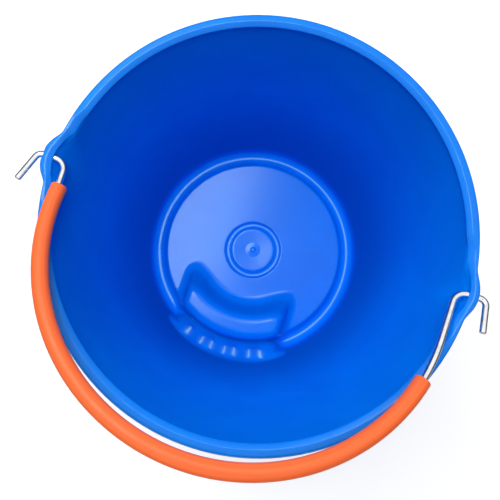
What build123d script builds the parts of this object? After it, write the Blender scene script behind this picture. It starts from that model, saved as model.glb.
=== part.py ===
from build123d import *
from math import cos, radians, sin, sqrt, tan
import os

os.makedirs("parts", exist_ok=True)

# Bucket, main sizes in millimetres. Z is up, the foot stands on z = 0, the bail hinges about X.
height = 270.0
rim_radius = 160.0
lip_width = 10.0
base_radius = 103.5
wall = 4.1
floor_top = 14.0
floor_thickness = 5.0

# Rim bead: a soft ridge with a steep inner face and a broad outer roll.
lip_inner_drop = 7.5
crest_offset = 4.2
lip_shoulder_drop = 1.5
lip_shoulder_inset = 1.6
lip_depth = 15.0
lip_root_drop = 16.5
crest_round = 1.8
lip_outer_round = 3.6
lip_lower_round = 2.0
lip_inner_round = 6.0

# Gutter round the floor: the hollow of the foot ring, seen from inside.
gutter_width = 15.5
gutter_inset = 4.0
gutter_depth = 8.0
gutter_inner_round = 3.0
gutter_outer_round = 5.0
floor_edge_round = 2.2
foot_inset = 1.5
foot_draft = 2.0
foot_outer_round = 3.0
foot_inner_round = 1.5
recess_round = 3.0

# Gate disc in the middle of the floor, with its ring groove.
gate_disc_radius = 21.0
groove_inner_slope = 3.6
groove_flat = 2.2
groove_outer_slope = 2.0
groove_depth = 2.8
dimple_radius = 10.5
dimple_depth = 1.1
gate_pip_radius = 2.6
gate_pip_height = 1.6
gate_pip_shoulder = 1.28
gate_round = 0.7

# Hand-hold: a hump in the floor over a finger pocket that opens below.
hump_height = 26.0
hump_inner_lean = 19.3
ledge_width = 17.2
hump_outer_lean = 5.1
valley_rise = 2.0
hump_half_width = 52.5
hump_side_lean = 4.0
horn_top_width = 8.8
horn_lean = 25.0
horn_foot_round = 8.0
horn_top_round = 4.8
horn_inner_round = 5.0
hump_top_round = 4.6
hump_foot_round = 6.0
pocket_wall = 4.0
pocket_foot_round = 6.0
pocket_top_round = 2.8
pocket_half_angle = 64.0

# Heel: the front of the foot ring leans in, and carries finger ridges.
heel_set_in = 10.9
heel_height = 32.0
heel_lap = 3.5
heel_half_angle = 36.0
heel_cut_half_angle = 33.0
heel_wall = 4.2
heel_end_round = 6.0
ridge_count = 4
ridge_pitch = 13.3
ridge_radius = 6.0
ridge_rise = 1.6
ridge_start = 12.0
ridge_end = 33.0
finger_groove_depth = 1.4

# Ears: round domes under the rim, hollow inside, with a hole for the bail.
hinge_drop = 7.0
ear_reach = 5.2
ear_dome_radius = 34.0
ear_wall = 6.2
ear_rise = 0.5
ear_top_round = 3.4
ear_depth = 12.0
ear_lap = 1.0

# Bail wire and its sleeve.
wire_diameter = 5.0
hinge_clearance = 0.4
bail_rest_angle = 18.0
bail_arc_inset = 15.0
bail_arc_offset = 23.0
bail_flare = 6.0
inner_bend = 9.5
outer_bend = 5.0
hook_gap = 0.5
left_hook_lean = 13.0
right_hook_lean = 2.5
hook_reach = 24.7
hook_end_round = 0.8
sleeve_diameter = 12.0
sleeve_clearance = 1.5
sleeve_start = -1.2
sleeve_end = 18.9
sleeve_edge_round = 0.5

# How far cutting shapes run past a face, how deep added shapes are rooted, and when points meet.
overrun = 5.0
root = 1.5
touch = 0.01

# Values that follow from the sizes above.
mouth_radius = rim_radius - lip_width
lip_root_z = height - lip_inner_drop
wall_slope = (mouth_radius - base_radius) / (lip_root_z - floor_top)
hinge_z = height - hinge_drop
floor_under = floor_top - floor_thickness
crest_radius = mouth_radius + crest_offset
floor_edge_radius = base_radius - gutter_width
gutter_floor = floor_top - gutter_depth
foot_inner_radius = floor_edge_radius - foot_inset
groove_low_inner = gate_disc_radius + groove_inner_slope
groove_low_outer = groove_low_inner + groove_flat
groove_radius = groove_low_outer + groove_outer_slope
valley_radius = base_radius - heel_set_in
valley_floor = gutter_floor + valley_rise
hump_top = floor_top + hump_height
hump_outer_top = valley_radius - hump_outer_lean
hump_inner_top = hump_outer_top - ledge_width
hump_inner_foot = hump_inner_top - hump_inner_lean
horn_top = sqrt(hump_inner_top**2 - (hump_half_width - hump_side_lean - horn_top_width) ** 2)
horn_foot = horn_top - horn_lean
heel_top = floor_top + heel_height
bail_arc_radius = rim_radius - bail_arc_inset
front = -90.0


def inner_wall(z):
    """Radius of the inner wall face at height z."""
    return base_radius + (z - floor_top) * wall_slope


def outer_wall(z):
    """Radius of the outer wall face at height z."""
    return inner_wall(z) + wall


def radial_plane(angle):
    """Plane through the Z axis: local x points outward at the angle, local y points up."""
    a = radians(angle)
    return Plane(origin=(0, 0, 0), x_dir=(cos(a), sin(a), 0), z_dir=(sin(a), -cos(a), 0))


def near(sketch, r, z):
    """Sketch corner closest to a point."""
    return sketch.vertices().sort_by_distance((r, z, 0))[0]


def turn(points, mode=Mode.ADD, half_angle=180.0):
    """Turn an outline of (radius, height) points about Z, through the half angle each side of the front."""
    with BuildSketch(radial_plane(front - half_angle)) as outline:
        with BuildLine():
            Polyline(*points, close=True)
        make_face()
    revolve(outline.sketch, axis=Axis.Z, revolution_arc=2 * half_angle, mode=mode)


# Shell of the bucket, turned in one profile from the gate mark round to the underside.
lip_low = height - lip_depth
lip_root = height - lip_root_drop
shoulder = (rim_radius - lip_shoulder_inset, height - lip_shoulder_drop)
gutter_inner = (floor_edge_radius + gutter_inset, gutter_floor)
gutter_outer = (inner_wall(gutter_floor), gutter_floor)
groove_low = floor_top - groove_depth
pip_base = floor_top - dimple_depth

with BuildPart() as shell:
    with BuildSketch(Plane.XZ) as profile:
        with BuildLine():
            Polyline(
                (0, pip_base + gate_pip_height),
                (gate_pip_radius / 2, pip_base + gate_pip_shoulder),
                (gate_pip_radius, pip_base),
                (dimple_radius, floor_top),
                (gate_disc_radius, floor_top),
                (groove_low_inner, groove_low),
                (groove_low_outer, groove_low),
                (groove_radius, floor_top),
                (floor_edge_radius, floor_top),
                gutter_inner,
                gutter_outer,
                (mouth_radius, lip_root_z),
                (crest_radius, height),
                shoulder,
                (rim_radius, lip_root_z),
                (rim_radius, lip_low),
                (outer_wall(lip_root), lip_root),
                (outer_wall(0), 0),
                (foot_inner_radius, 0),
                (foot_inner_radius - foot_draft, floor_under),
                (0, floor_under),
                close=True,
            )
        make_face()
        fillet(near(profile, gate_disc_radius, floor_top), gate_round)
        fillet(near(profile, groove_low_inner, groove_low), gate_round)
        fillet(near(profile, groove_low_outer, groove_low), gate_round)
        fillet(near(profile, groove_radius, floor_top), gate_round)
        fillet(near(profile, floor_edge_radius, floor_top), floor_edge_round)
        fillet(near(profile, *gutter_inner), gutter_inner_round)
        fillet(near(profile, *gutter_outer), gutter_outer_round)
        fillet(near(profile, mouth_radius, lip_root_z), lip_inner_round)
        fillet(near(profile, crest_radius, height), crest_round)
        fillet(near(profile, *shoulder), lip_outer_round)
        fillet(near(profile, rim_radius, lip_low), lip_lower_round)
        fillet(near(profile, outer_wall(lip_root), lip_root), lip_lower_round)
        fillet(near(profile, outer_wall(0), 0), foot_outer_round)
        fillet(near(profile, foot_inner_radius, 0), foot_inner_round)
        fillet(near(profile, foot_inner_radius - foot_draft, floor_under), recess_round)
    revolve(axis=Axis.Z)

# Hump of the hand-hold: a drafted frame gives its sides and horns, turned cuts give its two long faces.
hump_slope = hump_inner_lean / hump_height
side_slope = hump_side_lean / hump_height
horn_slope = horn_lean / hump_height
outer_slope = hump_outer_lean / (hump_top - valley_floor)
hump_bury = floor_under + root
gutter_bury = gutter_floor - root
frame_back = valley_radius + 4 * overrun
over = hump_top + overrun


def hump_inner(z):
    """Radius of the hump's inner face at height z."""
    return hump_inner_foot + (z - floor_top) * hump_slope


def hump_outer(z):
    """Radius of the hump's outer face at height z."""
    return hump_outer_top + (hump_top - z) * outer_slope


def hump_frame(z, side_inset=0.0, horn_inset=0.0):
    """Half-width and front distance of the hump's frame at height z, moved in by the insets."""
    half = hump_half_width - (z - floor_top) * side_slope - side_inset
    reach = horn_foot + (z - floor_top) * horn_slope + horn_inset
    return half, reach


def frame_sketch(half, reach, corner):
    """Frame outline with its two inner corners rounded, carried on past the hump towards the wall."""
    depth = frame_back - reach
    with Locations((0, -(reach + depth / 2))):
        Rectangle(2 * half, depth)
    fillet(vertices().group_by(Axis.Y)[-1], corner)


with BuildPart() as frame:
    with BuildSketch(Plane.XY.offset(gutter_bury)):
        frame_sketch(*hump_frame(gutter_bury), horn_foot_round)
    with BuildSketch(Plane.XY.offset(hump_top)):
        frame_sketch(*hump_frame(hump_top), horn_top_round)
    loft(ruled=True)

# The foot's rounding is made on an apron level with the floor, which is then trimmed clear of the gutter.
apron_front = horn_foot - 2 * hump_foot_round
apron_back = frame_back - overrun
apron_half = hump_half_width + 3 * hump_foot_round
trim_top = floor_top + hump_foot_round + root
trim_slope = gutter_inset / (floor_top - gutter_floor)
trim_edge = floor_edge_radius - 1.2 * floor_edge_round
under_floor = floor_edge_radius - root
gate_clear = groove_radius + root
hump_mid = (hump_top + floor_top) / 2
mid_half, mid_reach = hump_frame(hump_mid)
horn_x = sqrt(hump_inner(hump_mid) ** 2 - mid_reach**2)
back_y = -sqrt(hump_outer(hump_mid) ** 2 - mid_half**2)


def on_foot(edge):
    """True for an edge where the hump meets the apron's top face."""
    box = edge.bounding_box()
    spot = edge @ 0.5
    level = abs(box.min.Z - floor_top) < touch and abs(box.max.Z - floor_top) < touch
    within = abs(spot.X) < apron_half - touch and apron_front + touch < -spot.Y < apron_back - touch
    return level and within


with BuildPart() as apron_trim:
    turn(
        [
            (trim_edge - (trim_top - floor_top) * trim_slope, trim_top),
            (trim_edge + (floor_top - gutter_bury) * trim_slope, gutter_bury),
            (rim_radius, gutter_bury),
            (rim_radius, trim_top),
        ]
    )
    add(frame.part, mode=Mode.SUBTRACT)

with BuildPart() as hand_hold:
    add(frame.part)
    turn([(0, 0), (hump_inner(0), 0), (hump_inner(over), over), (0, over)], mode=Mode.SUBTRACT)
    turn([(0, 0), (under_floor, 0), (under_floor, hump_bury), (0, hump_bury)], mode=Mode.SUBTRACT)
    for side in (1, -1):
        horn_edge = hand_hold.edges().sort_by_distance((side * horn_x, -mid_reach, hump_mid))[0]
        fillet(horn_edge, horn_inner_round)
    with Locations((0, -(apron_front + apron_back) / 2, (hump_bury + floor_top) / 2)):
        Box(2 * apron_half, apron_back - apron_front, floor_top - hump_bury)
    fillet(hand_hold.edges().filter_by(on_foot), hump_foot_round)
    turn([(0, 0), (gate_clear, 0), (gate_clear, over), (0, over)], mode=Mode.SUBTRACT)
    add(apron_trim.part, mode=Mode.SUBTRACT)
    turn(
        [(hump_outer(0), 0), (hump_outer(over), over), (rim_radius, over), (rim_radius, 0)],
        mode=Mode.SUBTRACT,
    )
    for side in (1, -1):
        back_edge = hand_hold.edges().sort_by_distance((side * mid_half, back_y, hump_mid))[0]
        fillet(back_edge, horn_inner_round)
    fillet(hand_hold.faces().sort_by(Axis.Z)[-1].edges(), hump_top_round)

# Pocket under the hump, one wall thickness inside it, open at the foot.
horn_inset = pocket_wall * sqrt(1 + horn_slope**2)
inner_inset = pocket_wall * sqrt(1 + hump_slope**2)
side_inset = pocket_wall * sqrt(1 + side_slope**2)
pocket_top = hump_top - pocket_wall
below = -overrun

with BuildPart() as pocket_frame:
    with BuildSketch(Plane.XY.offset(below)):
        frame_sketch(*hump_frame(below, side_inset, horn_inset), pocket_foot_round)
    with BuildSketch(Plane.XY.offset(hump_top)):
        frame_sketch(*hump_frame(hump_top, side_inset, horn_inset), pocket_top_round)
    loft(ruled=True)

with BuildPart() as pocket:
    turn(
        [
            (hump_inner(below) + inner_inset, below),
            (hump_inner(pocket_top) + inner_inset, pocket_top),
            (hump_outer_top - pocket_wall, pocket_top),
            (hump_outer_top, below),
        ],
        half_angle=pocket_half_angle,
    )
    add(pocket_frame.part, mode=Mode.INTERSECT)

# Heel: inner face from the valley up to the wall, and the matching cut outside.
heel_slope = (inner_wall(heel_top) - valley_radius) / (heel_top - valley_floor)
heel_length = sqrt(1 + heel_slope**2)
heel_high = heel_top + heel_lap
heel_mid = (heel_top + valley_floor) / 2


def heel_inner(z):
    """Radius of the heel's inner face at height z."""
    return valley_radius + (z - valley_floor) * heel_slope


def heel_outer(z):
    """Radius of the heel's outer face at height z."""
    return heel_inner(z) + heel_wall * heel_length


def heel_point(along, depth):
    """Radius and height of a point, measured up the heel from the valley and out through its wall."""
    r = valley_radius + (along * heel_slope + depth) / heel_length
    z = valley_floor + (along - depth * heel_slope) / heel_length
    return r, z


def finger_bars(depth):
    """One round bar per finger, laid up the heel with its axis at the depth."""
    for index in range(ridge_count):
        plane = radial_plane(front + (index - (ridge_count - 1) / 2) * ridge_pitch)
        start = plane.from_local_coords(heel_point(ridge_start, depth))
        end = plane.from_local_coords(heel_point(ridge_end, depth))
        with Locations(Plane(origin=(start + end) * 0.5, z_dir=end - start)):
            Cylinder(ridge_radius, (end - start).length)
        with Locations(start, end):
            Sphere(ridge_radius)


with BuildPart() as heel:
    turn(
        [
            (valley_radius, gutter_bury),
            (valley_radius, valley_floor),
            (heel_inner(heel_high), heel_high),
            (inner_wall(heel_high) + wall / 2, heel_high),
            (inner_wall(gutter_bury) + wall / 2, gutter_bury),
        ],
        half_angle=heel_half_angle,
    )
    for side in (1, -1):
        end_plane = radial_plane(front + side * heel_half_angle)
        end_spot = end_plane.from_local_coords((heel_inner(heel_mid), heel_mid))
        fillet(heel.edges().sort_by_distance(end_spot)[0], heel_end_round)

cut_high = heel_high + touch
cut_reach = outer_wall(cut_high) + overrun

with BuildPart() as heel_cut:
    turn(
        [
            (heel_outer(below), below),
            (heel_outer(cut_high), cut_high),
            (cut_reach, cut_high),
            (cut_reach, below),
        ],
        half_angle=heel_cut_half_angle,
    )

with BuildPart() as ridges:
    finger_bars(ridge_radius - ridge_rise)

with BuildPart() as finger_grooves:
    finger_bars(heel_wall - finger_groove_depth + ridge_radius)

# One ear dome, cut flat a little above the rim; the other is its mirror image.
ear_tip = rim_radius + ear_reach
ear_top = height + ear_rise
ear_inner = crest_radius + ear_lap
dome_x = ear_tip - ear_dome_radius
ear_root = rim_radius - ear_depth
block = 4 * ear_dome_radius

with BuildPart() as ear:
    with Locations((dome_x, 0, hinge_z)):
        Sphere(ear_dome_radius)
    with Locations((dome_x, 0, ear_top - block / 2)):
        Box(block, block, block, mode=Mode.INTERSECT)
    fillet(ear.faces().sort_by(Axis.Z)[-1].edges(), ear_top_round)
    with Locations((ear_root + block / 2, 0, hinge_z)):
        Box(block, block, block, mode=Mode.INTERSECT)
    turn(
        [
            (0, lip_low),
            (inner_wall(lip_low) + wall / 2, lip_low),
            (mouth_radius + wall / 2, lip_root_z),
            (ear_inner, height - lip_shoulder_drop),
            (ear_inner, ear_top + overrun),
            (0, ear_top + overrun),
        ],
        mode=Mode.SUBTRACT,
    )

with BuildPart() as bucket:
    add(shell.part)
    add(hand_hold.part)
    add(heel.part)
    add(ridges.part)
    add(pocket.part, mode=Mode.SUBTRACT)
    add(heel_cut.part, mode=Mode.SUBTRACT)
    add(finger_grooves.part, mode=Mode.SUBTRACT)
    add(ear.part)
    add(mirror(ear.part, about=Plane.YZ, mode=Mode.PRIVATE))
    with Locations((dome_x, 0, hinge_z), (-dome_x, 0, hinge_z)):
        Sphere(ear_dome_radius - ear_wall, mode=Mode.SUBTRACT)
    with Locations(Plane(origin=(0, 0, hinge_z), z_dir=(1, 0, 0))):
        Cylinder(wire_diameter / 2 + hinge_clearance, 2 * (ear_tip + overrun), mode=Mode.SUBTRACT)

# Bail: one wire, drawn in its own tilted plane from hook to hook.
tilt = radians(bail_rest_angle)
along_bail = Vector(0, -cos(tilt), sin(tilt))
bail_plane = Plane(origin=(0, 0, hinge_z), x_dir=(1, 0, 0), z_dir=Vector(1, 0, 0).cross(along_bail))
flare = radians(bail_flare)
arc_end = Vector(bail_arc_radius * cos(flare), bail_arc_offset + bail_arc_radius * sin(flare))
bend_x = arc_end.X + (arc_end.Y - inner_bend) * tan(flare) + inner_bend / cos(flare)
bend_end = Vector(bend_x - inner_bend * cos(flare), inner_bend * (1 - sin(flare)))
hook_x = ear_tip + hook_gap


def hook(lean):
    """Start and tip of a hook's straight end, at the bail's right side."""
    a = radians(lean)
    start = Vector(hook_x + outer_bend * cos(a), outer_bend * (1 - sin(a)))
    tip = start + Vector(sin(a), cos(a)) * ((hook_reach - start.Y) / cos(a))
    return start, tip


left_start, left_tip = hook(left_hook_lean)
right_start, right_tip = hook(right_hook_lean)

with BuildPart() as bail:
    with BuildLine(bail_plane) as wire:
        Line((-left_tip.X, left_tip.Y), (-left_start.X, left_start.Y))
        CenterArc((-hook_x, outer_bend), outer_bend, 180 + left_hook_lean, 90 - left_hook_lean)
        Line((-hook_x, 0), (-bend_x, 0))
        CenterArc((-bend_x, inner_bend), inner_bend, 270, 90 - bail_flare)
        Line((-bend_end.X, bend_end.Y), (-arc_end.X, arc_end.Y))
        CenterArc((0, bail_arc_offset), bail_arc_radius, 180 - bail_flare, 2 * bail_flare - 180)
        Line((arc_end.X, arc_end.Y), (bend_end.X, bend_end.Y))
        CenterArc((bend_x, inner_bend), inner_bend, 180 + bail_flare, 90 - bail_flare)
        Line((bend_x, 0), (hook_x, 0))
        CenterArc((hook_x, outer_bend), outer_bend, 270, 90 - right_hook_lean)
        Line((right_start.X, right_start.Y), (right_tip.X, right_tip.Y))
    with BuildSketch(Plane(origin=wire.line @ 0, z_dir=wire.line % 0)):
        Circle(wire_diameter / 2)
    sweep(path=wire.line)
    fillet(bail.faces().filter_by(GeomType.PLANE).edges(), hook_end_round)

# Sleeve: a tube turned about the centre of the bail's arc, pushed to its left stop.
arc_centre = bail_plane.from_local_coords((0, bail_arc_offset, 0))
arc_axis = Axis(arc_centre, -bail_plane.z_dir)
start_angle = radians(180 - sleeve_start)
start_radial = Vector(1, 0, 0) * cos(start_angle) + along_bail * sin(start_angle)
start_plane = Plane(origin=arc_centre, x_dir=start_radial, z_dir=start_radial.cross(-bail_plane.z_dir))

with BuildPart() as grip:
    with BuildSketch(start_plane):
        with Locations((bail_arc_radius, 0)):
            Circle(sleeve_diameter / 2)
            Circle(wire_diameter / 2 + sleeve_clearance, mode=Mode.SUBTRACT)
    revolve(axis=arc_axis, revolution_arc=180 - sleeve_start - sleeve_end)
    for end_face in grip.faces().filter_by(GeomType.PLANE):
        fillet(end_face.outer_wire().edges(), sleeve_edge_round)

bucket.part.label = "bucket"
bail.part.label = "bail"
grip.part.label = "grip"
export_step(bucket.part, "parts/bucket.step")
export_step(bail.part, "parts/bail.step")
export_step(grip.part, "parts/grip.step")
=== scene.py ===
"""Looks of a moulded rubber bucket with a wire bail and a sliding tube grip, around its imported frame."""

import logging
import math
from dataclasses import dataclass, field
from enum import Enum
from functools import partial
from typing import Any, Callable

import bpy
import numpy as np
from mathutils import Matrix, Vector


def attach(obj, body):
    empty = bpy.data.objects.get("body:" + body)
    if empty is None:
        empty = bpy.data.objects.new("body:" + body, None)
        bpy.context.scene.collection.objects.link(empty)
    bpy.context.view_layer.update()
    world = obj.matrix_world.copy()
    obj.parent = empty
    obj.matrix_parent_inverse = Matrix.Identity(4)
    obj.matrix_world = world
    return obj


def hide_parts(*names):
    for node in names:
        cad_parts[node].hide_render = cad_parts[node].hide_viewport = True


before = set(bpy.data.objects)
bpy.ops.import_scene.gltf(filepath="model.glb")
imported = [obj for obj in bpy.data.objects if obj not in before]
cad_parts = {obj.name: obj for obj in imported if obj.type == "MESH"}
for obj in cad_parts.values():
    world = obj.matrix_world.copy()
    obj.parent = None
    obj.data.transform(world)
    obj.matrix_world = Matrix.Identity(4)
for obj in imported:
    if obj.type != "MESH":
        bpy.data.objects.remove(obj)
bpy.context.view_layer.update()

MM = 0.001
Triple = tuple[float, float, float]
Span = tuple[float, float]
Values = float | np.ndarray
AddNode = Callable[..., bpy.types.Node]
log = logging.getLogger("bucket_scene")


class Side(Enum):
    """The two ends of the bail's hinge line."""

    LEFT = -1
    RIGHT = 1


def linear(code: str) -> tuple[float, float, float, float]:
    """Turn an sRGB hex colour into a linear colour.

    Args:
        code: Colour such as "#1a6cf0".

    Returns:
        Linear red, green, blue and an alpha of 1.
    """
    parts = [int(code[i:i + 2], 16) / 255 for i in (1, 3, 5)]
    red, green, blue = (c / 12.92 if c <= 0.04045 else ((c + 0.055) / 1.055) ** 2.4 for c in parts)
    return red, green, blue, 1.0


def add_node(tree: bpy.types.NodeTree, kind: str, inputs: dict[str | int, Any] | None = None,
             **options: Any) -> bpy.types.Node:
    """Add a shader node, set its options, and link or set its inputs.

    Args:
        tree: Node tree that gets the node.
        kind: Blender's name of the node type, without its start "ShaderNode".
        inputs: What each input socket, by name or number, gets: a node, which gives its first output, an
            output socket, or a fixed value.
        options: Options of the node by name.

    Returns:
        The new node.
    """
    node = tree.nodes.new(f"ShaderNode{kind}")
    for name, option in options.items():
        setattr(node, name, option)
    for name, source in (inputs or {}).items():
        if isinstance(source, bpy.types.Node):
            source = source.outputs[0]
        if isinstance(source, bpy.types.NodeSocket):
            tree.links.new(source, node.inputs[name])
        else:
            node.inputs[name].default_value = source
    return node


def new_material(name: str) -> tuple[bpy.types.Material, AddNode]:
    """Make an empty node material.

    Args:
        name: Name of the material.

    Returns:
        The material, and add_node for its tree.
    """
    material = bpy.data.materials.new(name)
    material.use_nodes = True
    material.node_tree.nodes.clear()
    return material, partial(add_node, material.node_tree)


def per_metre(size: float) -> float:
    """How often a pattern with a size in mm repeats in a metre."""
    return 1 / (size * MM)


def round_min(a: np.ndarray, b: np.ndarray, radius: Values) -> np.ndarray:
    """Join two signed distances, with a round fillet in the corner between them.

    Args:
        a: First distance.
        b: Second distance.
        radius: Size of the fillet.

    Returns:
        Distance to the joined shape.
    """
    corner = np.hypot(np.maximum(radius - a, 0), np.maximum(radius - b, 0))
    return np.maximum(radius, np.minimum(a, b)) - corner


def round_max(a: np.ndarray, b: np.ndarray, radius: float) -> np.ndarray:
    """Keep what two signed distances share, with a rounded edge."""
    return -round_min(-a, -b, radius)


def ease(value: Values, start: float, end: float) -> Values:
    """Rise smoothly from 0 at start to 1 at end."""
    t = np.clip((value - start) / (end - start), 0.0, 1.0)
    return t * t * (3 - 2 * t)


def rounded(corners: list[Triple], step: float, arc_step: float = 0.7) -> np.ndarray:
    """Sample an outline with rounded corners.

    Args:
        corners: Radius from the axis, height and rounding of each corner.
        step: Longest piece of a straight run.
        arc_step: Longest piece of a rounding.

    Returns:
        Points of the outline, one row of radius and height each.
    """
    points = [np.array(corners[0][:2])]
    for before, here, after in zip(corners, corners[1:], corners[2:]):
        corner = np.array(here[:2])
        back, ahead = (np.array(other[:2]) - corner for other in (before, after))
        back, ahead = back / np.linalg.norm(back), ahead / np.linalg.norm(ahead)
        half = math.acos(float(np.clip(back @ ahead, -1, 1))) / 2
        middle = (back + ahead) / np.linalg.norm(back + ahead)
        centre = corner + middle * here[2] / math.sin(half)
        first = corner + back * here[2] / math.tan(half) - centre
        last = corner + ahead * here[2] / math.tan(half) - centre
        sweep = math.pi - 2 * half
        count = max(2, math.ceil(sweep * here[2] / arc_step)) if here[2] else 0
        for t in np.linspace(0, 1, count + 1):
            turned = (math.sin((1 - t) * sweep) * first + math.sin(t * sweep) * last) / math.sin(sweep)
            points.append(centre + turned)
    points.append(np.array(corners[-1][:2]))
    filled = [points[0]]
    for start, end in zip(points, points[1:]):
        count = max(1, math.ceil(np.linalg.norm(end - start) / step))
        filled += [start + (end - start) * k / count for k in range(1, count + 1)]
    return np.array(filled)


@dataclass
class Skin:
    """A closed skin of rings, joined one after the other. Sizes in mm."""

    points: list[np.ndarray] = field(default_factory=list)
    faces: list[tuple[int, ...]] = field(default_factory=list)
    ring: np.ndarray | None = None
    ring_angles: np.ndarray | None = None
    count: int = 0

    def tip(self, place: np.ndarray) -> None:
        """Add a single point, as the first or the last ring.

        Args:
            place: The point.
        """
        self.points.append(np.array([place], dtype=float))
        if self.ring is not None:
            n = len(self.ring)
            self.faces += [(int(self.ring[i]), self.count, int(self.ring[(i + 1) % n])) for i in range(n)]
        self.ring, self.ring_angles = np.array([self.count]), np.zeros(1)
        self.count += 1

    def add(self, places: np.ndarray, angles: np.ndarray | None = None) -> None:
        """Add a ring and join it to the one before.

        Args:
            places: One point per row.
            angles: Angle of each point, rising; needed where the number of points changes.
        """
        n = len(places)
        ring = np.arange(self.count, self.count + n)
        self.points.append(places)
        self.count += n
        before = [] if self.ring is None else self.ring
        if len(before) == 1:
            self.faces += [(int(before[0]), int(ring[i]), int(ring[(i + 1) % n])) for i in range(n)]
        elif len(before) == n:
            self.join(before, ring)
        elif len(before):
            self.stitch(before, self.ring_angles, ring, angles)
        self.ring, self.ring_angles = ring, angles

    def join(self, inner: np.ndarray, outer: np.ndarray) -> None:
        """Join two rings of one count with quads."""
        after = np.roll(np.arange(len(inner)), -1)
        self.faces += list(zip(inner.tolist(), outer.tolist(), outer[after].tolist(), inner[after].tolist()))

    def close(self) -> None:
        """Join the last ring to the first."""
        self.join(self.ring, np.arange(len(self.ring)))

    def stitch(self, inner: np.ndarray, inner_angles: np.ndarray, outer: np.ndarray,
               outer_angles: np.ndarray) -> None:
        """Join two rings of different counts with triangles, always taking the nearer next point.

        Args:
            inner: Numbers of the ring before.
            inner_angles: Its angles.
            outer: Numbers of the new ring.
            outer_angles: Its angles.
        """
        turn = 2 * math.pi
        inner_next = np.append(inner_angles[1:], inner_angles[0] + turn)
        outer_next = np.append(outer_angles[1:], outer_angles[0] + turn)
        i = j = 0
        while i < len(inner) or j < len(outer):
            here, there = int(inner[i % len(inner)]), int(outer[j % len(outer)])
            if j == len(outer) or (i < len(inner) and inner_next[i] <= outer_next[j]):
                i += 1
                self.faces.append((here, there, int(inner[i % len(inner)])))
            else:
                j += 1
                self.faces.append((here, there, int(outer[j % len(outer)])))

    def mesh(self, name: str, lay: np.ndarray | None = None) -> bpy.types.Mesh:
        """Turn the rings into a smooth mesh in metres.

        Args:
            name: Name of the mesh.
            lay: Places of the points along and round a wire or tube, in mm, kept for its pattern.

        Returns:
            The mesh.
        """
        mesh = bpy.data.meshes.new(name)
        mesh.from_pydata((np.vstack(self.points) * MM).tolist(), [], self.faces)
        mesh.shade_smooth()
        if lay is not None:
            layer = mesh.attributes.new("lay", "FLOAT_VECTOR", "POINT")
            layer.data.foreach_set("vector", (lay * MM).ravel())
        return mesh


@dataclass
class Trail:
    """A flat path of straight runs and round bends, with its heading at each point. Sizes in mm."""

    places: list[np.ndarray]
    headings: list[np.ndarray] = field(default_factory=list)
    step: float = 9.0
    bend_step: float = 6.0

    def run(self, x: float, y: float) -> "Trail":
        """Go straight to a point.

        Args:
            x: Place of the point across.
            y: Place of the point along.

        Returns:
            The trail itself.
        """
        start, end = self.places[-1], np.array([x, y])
        length = np.linalg.norm(end - start)
        if not self.headings:
            self.headings.append((end - start) / length)
        for t in np.linspace(0, 1, max(1, math.ceil(length / self.step)) + 1)[1:]:
            self.places.append(start + (end - start) * t)
            self.headings.append((end - start) / length)
        return self

    def bend(self, x: float, y: float, sweep: float, step: float | None = None) -> "Trail":
        """Turn about a centre.

        Args:
            x: Place of the centre across.
            y: Place of the centre along.
            sweep: Angle in degrees, above zero to the left.
            step: Angle between points.

        Returns:
            The trail itself.
        """
        centre = np.array([x, y])
        spoke = self.places[-1] - centre
        count = max(2, math.ceil(abs(sweep) / (step or self.bend_step)))
        for t in np.linspace(0, math.radians(sweep), count + 1)[1:]:
            c, s = math.cos(t), math.sin(t)
            turned = np.array([c * spoke[0] - s * spoke[1], s * spoke[0] + c * spoke[1]])
            self.places.append(centre + turned)
            ahead = math.copysign(1 / np.linalg.norm(turned), sweep)
            self.headings.append(np.array([-turned[1], turned[0]]) * ahead)
        return self

    def lengths(self) -> np.ndarray:
        """Distance of each point from the start."""
        steps = np.linalg.norm(np.diff(np.array(self.places), axis=0), axis=1)
        return np.concatenate([[0.0], np.cumsum(steps)])


@dataclass
class BailPlane:
    """The tilted plane of the bail at rest, and rings round a path in it. Sizes in mm, angles in degrees."""

    hinge_z: float = 263.0
    rest: float = 18.0
    arc_radius: float = 145.0
    arc_offset: float = 23.0
    sides: int = 24
    crease: float = 50.0

    def lift(self, places: np.ndarray) -> np.ndarray:
        """Turn flat places or directions of the plane into ones in space, counted from the hinge line.

        Args:
            places: Places across and along, in the last axis.

        Returns:
            Three coordinates, in the last axis.
        """
        tilt = math.radians(self.rest)
        x, ahead = places[..., 0], places[..., 1]
        return np.stack([x, -ahead * math.cos(tilt), ahead * math.sin(tilt)], axis=-1)

    def ring_turns(self) -> np.ndarray:
        """Angles of a ring's points, one per row."""
        return np.linspace(0, 2 * math.pi, self.sides, endpoint=False)[:, None]

    def ring(self, place: np.ndarray, heading: np.ndarray, radius: float) -> np.ndarray:
        """Points of a ring across a path.

        Args:
            place: Flat place on the path.
            heading: Flat direction of the path.
            radius: Radius of the ring.

        Returns:
            One point per row.
        """
        tilt = math.radians(self.rest)
        normal = np.array([0.0, -math.sin(tilt), -math.cos(tilt)])
        across = np.cross(self.lift(heading), normal)
        centre = self.lift(place) + np.array([0.0, 0.0, self.hinge_z])
        t = self.ring_turns()
        return centre + radius * (np.cos(t) * across + np.sin(t) * normal)

    def lay(self, along: float, radius: float) -> np.ndarray:
        """Places of a ring's points on the piece laid out straight, which its patterns follow."""
        t = self.ring_turns()
        return np.hstack([np.full_like(t, along), radius * np.cos(t), radius * np.sin(t)])

    @staticmethod
    def rounded_end(radius: float, size: float) -> list[tuple[float, float]]:
        """Rows of an end with a rounded edge: how far each lies behind the end's face, and its radius."""
        turns = np.radians([0.0, 30.0, 60.0, 90.0])
        return [(size * (1 - math.cos(t)), radius - size * (1 - math.sin(t))) for t in turns]


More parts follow.
